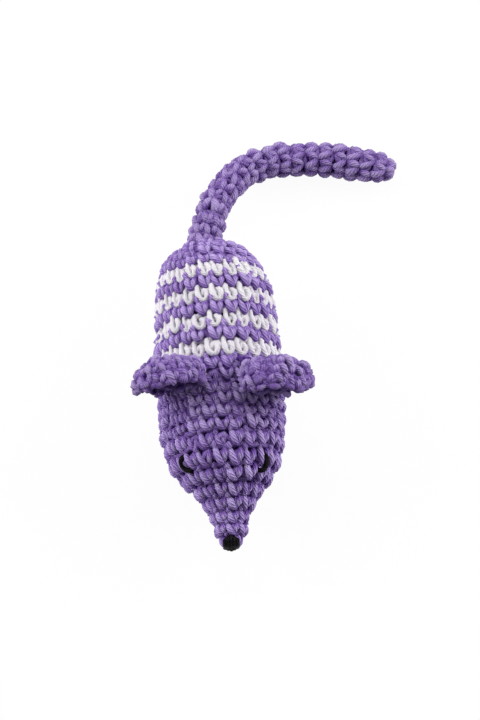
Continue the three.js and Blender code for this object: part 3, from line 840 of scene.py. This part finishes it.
def arc_at(station):
    return np.interp(station, outline[:, 0], outline_marks)


for side, route in EYE_ROUTES.items():
    curve = yarn_curve(side + "_eye_yarn", EYE_YARN, sides=10, steps=4)
    points = [on_body(math.radians(degrees), arc_at(station), EYE_OUT[side]) for station, degrees in route]
    pulled = []
    for end, step, share in EYE_ENDS:
        station, degrees = route[end]
        pulled.append(on_body(math.radians(degrees * share), arc_at(station + step), EYE_END_OUT))
    add_strand(curve, [pulled[0], *points, pulled[1]], False)
    eye = yarn_piece(curve, [plied_black], [2])
    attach(eye, "body")
    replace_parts(eye, side + "_eye_stitch")
    print(eye.name, len(eye.data.polygons), "faces")

# %% Nose
NOSE_YARN = 0.9
NOSE_STRANDS = (-2.1, -1.05, 0, 1.05, 2.1)
NOSE_TOP = 3.4
NOSE_CHIN = 1.9
NOSE_TAPER = 0.09
NOSE_FRONT = -0.35
NOSE_ROUNDING = 0.25
NOSE_SIDE_LIFT = 0.06
NOSE_SECTION = ((1, -1.2), (0.8, 0.3), (0.4, 0.4), (0.06, 0.2))
NOSE_LEAST = 0.3
curve = yarn_curve("nose_yarn", NOSE_YARN, sides=10, steps=4)
for offset in NOSE_STRANDS:
    narrow = 1 - NOSE_TAPER * offset**2
    front = NOSE_FRONT + NOSE_ROUNDING * offset**2
    halves = []
    for reach, up in ((NOSE_TOP, 1), (NOSE_CHIN, -1)):
        half = []
        for share, lift in NOSE_SECTION:
            station = front + (reach * narrow - front) * share
            radius = radius_at(station) + lift + NOSE_SIDE_LIFT * offset**2
            half.append((offset, station, up * math.sqrt(max(radius**2 - offset**2, NOSE_LEAST))))
        halves.append(half)
    route = np.array([*halves[0], (offset, front, 0), *reversed(halves[1])])
    add_strand(curve, route + (SWAY[0], -BELLY_STATION, AXIS_HEIGHT), False)
nose = yarn_piece(curve, [plied_black], [1] * len(NOSE_STRANDS))
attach(nose, "body")
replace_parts(nose, "nose_stitches")
print(nose.name, len(nose.data.polygons), "faces")

# %% [markdown]
# ## Tail
# The tail is a narrow tube, six stitches round, worked from its tip to its root. Its middle line
# follows the path of the CAD model: it leaves the rump, comes down to the floor and bends to one side.
# Three more rounds make the root, which is sewn to the rump.

# %% Line of the tail
PIVOT = np.array([0, 60.9035, 22.0])
LYING = -15.6
TAIL_RADIUS = 6.4
TIP_LENGTH = 10.0
TIP_STEPS = 60
FLARE_RADIUS = 6.3
FLARE_START = 1
FLARE_END = 3
ROOT_REACH = 14
TAIL_ROUTE = ((0, 0, 0), (1.7, 5.2, 0.05 * LYING), (6.6, 14.9, 0.34 * LYING), (15.4, 25.1, 0.76 * LYING),
              (29.8, 29.4, LYING), (52, 27.4, LYING), (71.7, 22.0, LYING))
tail_path = flowing_line(TAIL_ROUTE) + PIVOT
tail_marks = distances(tail_path)
tail_slope = np.gradient(tail_path, tail_marks, axis=0)
TAIL_LENGTH = tail_marks[-1]
tip_share = np.linspace(0, 1, TIP_STEPS)
tip_line = np.stack([TIP_LENGTH * tip_share, TAIL_RADIUS * np.sqrt(1 - (1 - tip_share) ** 2)], axis=1)
tail_line = np.vstack([tip_line, (TAIL_LENGTH - FLARE_START, TAIL_RADIUS),
                       (TAIL_LENGTH + FLARE_END, FLARE_RADIUS),
                       (TAIL_LENGTH + ROOT_REACH, FLARE_RADIUS)])
tail_line_marks = distances(tail_line)
tail_line_slope = np.gradient(tail_line, tail_line_marks, axis=0)
TAIL_ARC = tail_line_marks[-1] - ROOT_REACH
print("tail", round(TAIL_LENGTH, 2), "mm")

# %% Places on the tail


def on_tail(around, arc, out):
    inside = np.clip(arc, 0, tail_line_marks[-1])
    point = along_line(tail_line, tail_line_marks, inside)
    slope = along_line(tail_line_slope, tail_line_marks, inside)
    slope /= np.linalg.norm(slope, axis=-1, keepdims=True)
    depth = np.asarray(out, float) - COVER
    from_tip = point[:, 0] - slope[:, 1] * depth
    radius = np.maximum(point[:, 1] + slope[:, 0] * depth, LEAST_RADIUS)
    share = np.clip(TAIL_LENGTH - from_tip, 0, TAIL_LENGTH)
    ahead = along_line(tail_slope, tail_marks, share)
    ahead /= np.linalg.norm(ahead, axis=-1, keepdims=True)
    centre = along_line(tail_path, tail_marks, share) + ahead * (TAIL_LENGTH - from_tip - share)[:, None]
    beside = np.cross(ahead, (0, 0, 1))
    beside /= np.linalg.norm(beside, axis=-1, keepdims=True)
    above = np.cross(beside, ahead)
    spot = centre + radius[:, None] * (above * np.cos(around)[:, None] - beside * np.sin(around)[:, None])
    spot[:, 2] = np.maximum(spot[:, 2], FLOOR_REST)
    return spot


# %% Tail stitches
TAIL_STITCHES = (4, 6) + (6,) * 15
TAIL_FULLNESS = (0.2,) * 9 + (-0.15,) * 8
TAIL_LEAN = 0.45
TAIL_START = 0.6
TAIL_END = 3.5
TAIL_STITCH = KNOB_STITCH * (1, 1.15, 0.7, 1) + (0, 0, 0.85, 0)
TIP_STITCH = TAIL_STITCH.copy()
TIP_STITCH[:, 2] += np.clip(1 - 2 * TIP_STITCH[:, 1], 0, 1)
tail_edges = np.linspace(TAIL_START, TAIL_ARC - TAIL_END, len(TAIL_STITCHES) + 1)
tip_round = rounds_between(tail_edges[:2], TAIL_STITCHES, 0, TIP_STITCH, TAIL_FULLNESS[:1], TAIL_LEAN)
other_rounds = rounds_between(tail_edges[1:], TAIL_STITCHES[1:], 1, TAIL_STITCH, TAIL_FULLNESS[1:],
                              TAIL_LEAN)
tail = crochet("tail_stitches", SHADE_DIMMED_STRANDS, on_tail, tip_round + other_rounds)
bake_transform(tail)
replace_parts(tail, "tail_cover")

# %% Tail lining
TAIL_LINING_OUT = 1.2
TAIL_LINING_START = 2.5
TAIL_LINING_END = 2
TAIL_LINING_RINGS = 40
TAIL_LINING_SIDES = 16
tail_arcs = np.linspace(TAIL_LINING_START, TAIL_ARC + TAIL_LINING_END, TAIL_LINING_RINGS)
tail_lining = skin("tail_lining", on_tail, tail_arcs, TAIL_LINING_OUT, TAIL_LINING_SIDES, shaded_yarn_backs)
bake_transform(tail_lining)

# %% Root of the tail
ROOT_STITCHES = (7, 8, 8)
ROOT_START = 3.2
ROOT_END = 9.0
root_edges = np.linspace(TAIL_ARC - ROOT_START, TAIL_ARC + ROOT_END, len(ROOT_STITCHES) + 1)
root_rounds = rounds_between(root_edges, ROOT_STITCHES, len(TAIL_STITCHES), TAIL_STITCH, 0.0, TAIL_LEAN)
root = crochet("tail_root_stitches", SHADE_DIMMED_STRANDS, on_tail, root_rounds)
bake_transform(root)
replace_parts(root, "tail_root_round")

# %% [markdown]
# ## Filling
# The mouse is stuffed with loose polyester fibre, in two wads that meet round the catnip sachet, and
# the tail holds a thin roll of it. Each wad starts as a copy of the CAD solid, a little slimmer, made
# into even faces by a voxel remesh. Cloth with inner pressure then swells it, as fibre does when the
# cover is closed, and no point may move further than the room that the cover leaves.

# %% Fibre finish
FIBRE_COLOURS = ((0.62, 0.60, 0.56), (0.93, 0.92, 0.90))
FIBRE_STRETCH = (900, 260, 900)
FIBRE_TURN = (0.3, 0.2, 0.5)
FIBRE_RELIEF = 0.0006


def fibre_finish():
    material, nodes, links, shader = start_finish("loose_fibre", 0.95)
    shader.inputs["Sheen Weight"].default_value = 0.5
    coordinates = nodes.new("ShaderNodeTexCoord")
    stretch = nodes.new("ShaderNodeMapping")
    stretch.inputs["Scale"].default_value = FIBRE_STRETCH
    stretch.inputs["Rotation"].default_value = FIBRE_TURN
    strands = nodes.new("ShaderNodeTexNoise")
    strands.inputs["Scale"].default_value = 1
    strands.inputs["Detail"].default_value = 6
    strands.inputs["Distortion"].default_value = 1.5
    links.new(coordinates.outputs["Object"], stretch.inputs["Vector"])
    links.new(stretch.outputs[0], strands.inputs["Vector"])
    two_colours(nodes, links, strands.outputs["Fac"], shader, *FIBRE_COLOURS, low_at=0.3, high_at=0.6)
    add_relief(nodes, links, strands.outputs["Fac"], shader, FIBRE_RELIEF)
    return material


loose_fibre = fibre_finish()
print("filling", loose_fibre.name)

# %% Swelling a wad
PRESSURE = 4.0
CLOTH_MASS = 0.00002
SWELL_FRAMES = 20
LEAST_MOVE = 1e-9


def even_faces(wad, voxel, slack):
    remesh = wad.modifiers.new("even_faces", "REMESH")
    remesh.mode = "VOXEL"
    remesh.voxel_size = voxel * MM
    wad.data = finished_mesh(wad)
    wad.modifiers.clear()
    bm = bmesh.new()
    bm.from_mesh(wad.data)
    for vert in bm.verts:
        vert.co -= vert.normal * slack * MM
    bm.to_mesh(wad.data)
    bm.free()


def swell(wad, most):
    before = spots_of(wad.data)
    cloth = wad.modifiers.new("swell", "CLOTH")
    cloth.settings.mass = CLOTH_MASS
    cloth.settings.use_pressure = True
    cloth.settings.uniform_pressure_force = PRESSURE
    cloth.settings.effector_weights.gravity = 0
    cloth.point_cache.frame_end = SWELL_FRAMES
    for step in range(1, SWELL_FRAMES + 1):
        scene.frame_set(step)
    wad.data = finished_mesh(wad)
    wad.modifiers.clear()
    scene.frame_set(1)
    moved = spots_of(wad.data) - before
    far = np.linalg.norm(moved, axis=1, keepdims=True)
    print(wad.name, "moved", (far.mean() / MM).round(3), "mm, at most", (far.max() / MM).round(3))
    held = before + moved * np.minimum(1, most * MM / np.maximum(far, LEAST_MOVE))
    wad.data.vertices.foreach_set("co", held.ravel())


# %% Filling
WELD = 0.001


def stuffed(name, node, voxel, slack, most):
    bm = bmesh.new()
    bm.from_mesh(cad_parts[node].data)
    bmesh.ops.remove_doubles(bm, verts=bm.verts, dist=WELD * MM)
    wad = piece_of(name, bm, loose_fibre)
    even_faces(wad, voxel, slack)
    swell(wad, most)
    wad.data.name = name
    wad.data.shade_smooth()
    softer = wad.modifiers.new("softer", "SUBSURF")
    softer.levels = 1
    softer.render_levels = 1
    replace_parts(wad, node)
    return wad


for node in ("front_filling", "rear_filling"):
    wad = stuffed(node.replace("filling", "wad"), node, voxel=2.5, slack=0.6, most=0.6)
    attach(wad, "body")
tail_roll = stuffed("tail_roll", "tail_filling", voxel=0.8, slack=0.2, most=0.2)
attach(tail_roll, "tail")

# %% [markdown]
# ## Catnip sachet
# Between the wads lies a small bag of dried catnip: two round cloths of plain muslin, sewn together
# near their rim, where the cloth gathers into fine pleats. A spin makes each cloth from its section,
# a wave round the rim gathers it, and a Solidify modifier gives the cloth its thickness. The herb is
# a flattened ball with small dents.

# %% Sachet finishes
THREADS_PER_METRE = 1600
MUSLIN_COLOURS = ((0.42, 0.36, 0.25), (0.78, 0.71, 0.56))
MUSLIN_RELIEF = 0.0002
HERB_COLOURS = ((0.09, 0.10, 0.03), (0.36, 0.33, 0.14))
HERB_CRUMBS = 700
HERB_RELIEF = 0.0008


def muslin_finish():
    material, nodes, links, shader = start_finish("plain_muslin", 0.9)
    shader.inputs["Sheen Weight"].default_value = 0.3
    coordinates = nodes.new("ShaderNodeTexCoord")
    heights = []
    for direction in ("X", "Y"):
        thread = nodes.new("ShaderNodeTexWave")
        thread.bands_direction = direction
        thread.inputs["Scale"].default_value = THREADS_PER_METRE / math.tau
        thread.inputs["Distortion"].default_value = 1.2
        thread.inputs["Detail Scale"].default_value = 3
        links.new(coordinates.outputs["Object"], thread.inputs["Vector"])
        heights.append(thread.outputs["Fac"])
    weave = math_node(nodes, links, "MAXIMUM", *heights)
    two_colours(nodes, links, weave, shader, *MUSLIN_COLOURS)
    add_relief(nodes, links, weave, shader, MUSLIN_RELIEF)
    return material


def herb_finish():
    material, nodes, links, shader = start_finish("dried_leaves", 0.95)
    coordinates = nodes.new("ShaderNodeTexCoord")
    crumbs = nodes.new("ShaderNodeTexVoronoi")
    crumbs.inputs["Scale"].default_value = HERB_CRUMBS
    split = nodes.new("ShaderNodeSeparateColor")
    links.new(coordinates.outputs["Object"], crumbs.inputs["Vector"])
    links.new(crumbs.outputs["Color"], split.inputs[0])
    two_colours(nodes, links, split.outputs[0], shader, *HERB_COLOURS)
    add_relief(nodes, links, crumbs.outputs["Distance"], shader, HERB_RELIEF)
    return material


plain_muslin = muslin_finish()
dried_leaves = herb_finish()
print("sachet", plain_muslin.name, dried_leaves.name)

# %% Sachet
SACHET_STATION = 62
SACHET_CENTRE = np.array([0, SACHET_STATION - BELLY_STATION, AXIS_HEIGHT])
SACHET_RADIUS = 12.5
SACHET_RIM = 2.0
SACHET_HEIGHT = 6.1
SACHET_SEAM = 0.3
SACHET_CLOTH = 0.45
SECTION_POINTS = 12
PLEATS = 24
STEPS_IN_PLEAT = 4
PLEAT_DEPTH = 0.35
GATHER_PLACE = 0.85
GATHER_FALL = 4


def sachet_cloth(name, up):
    bm = bmesh.new()
    turns = np.linspace(0, math.pi / 2, SECTION_POINTS)
    section = [(SACHET_RADIUS * math.sin(turn), 0, up * (SACHET_SEAM + SACHET_HEIGHT * math.cos(turn)))
               for turn in turns]
    section.append((SACHET_RADIUS + SACHET_RIM, 0, up * SACHET_SEAM))
    verts = [bm.verts.new(point) for point in section]
    edges = [bm.edges.new(pair) for pair in zip(verts, verts[1:])]
    bmesh.ops.spin(bm, geom=verts + edges, cent=(0, 0, 0), axis=(0, 0, 1), angle=math.tau,
                   steps=STEPS_IN_PLEAT * PLEATS, use_merge=True)
    bmesh.ops.remove_doubles(bm, verts=bm.verts, dist=WELD)
    bmesh.ops.recalc_face_normals(bm, faces=bm.faces)
    for vert in bm.verts:
        reach = math.hypot(vert.co.x, vert.co.y) / SACHET_RADIUS
        gather = max(0, 1 - GATHER_FALL * abs(reach - GATHER_PLACE)) * PLEAT_DEPTH
        vert.co.z -= up * gather * (0.5 + 0.5 * math.cos(PLEATS * math.atan2(vert.co.y, vert.co.x)))
        vert.co = (vert.co + Vector(SACHET_CENTRE)) * MM
    if bm.faces[0].normal.z * up < 0:
        bmesh.ops.reverse_faces(bm, faces=bm.faces)
    cloth = piece_of(name, bm, plain_muslin)
    thickness = cloth.modifiers.new("thickness", "SOLIDIFY")
    thickness.thickness = SACHET_CLOTH * MM
    thickness.offset = 0
    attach(cloth, "body")
    return cloth


for half, up in (("upper", 1), ("lower", -1)):
    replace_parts(sachet_cloth(half + "_muslin", up), f"sachet_{half}_cloth")

# %% Dried catnip
HERB_RADIUS = 11.4
HERB_HEIGHT = 5.3
LUMPS_ACROSS = 26.4
LUMP_DEPTH = 0.1
bm = bmesh.new()
bmesh.ops.create_icosphere(bm, subdivisions=5, radius=1)
for vert in bm.verts:
    lumps = 1 - LUMP_DEPTH * abs(noise.noise(vert.co * LUMPS_ACROSS))
    vert.co = Vector((vert.co.x * HERB_RADIUS, vert.co.y * HERB_RADIUS, vert.co.z * HERB_HEIGHT)) * lumps
    vert.co = (vert.co + Vector(SACHET_CENTRE)) * MM
catnip = piece_of("catnip_leaves", bm, dried_leaves)
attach(catnip, "body")
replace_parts(catnip, "catnip_herb")
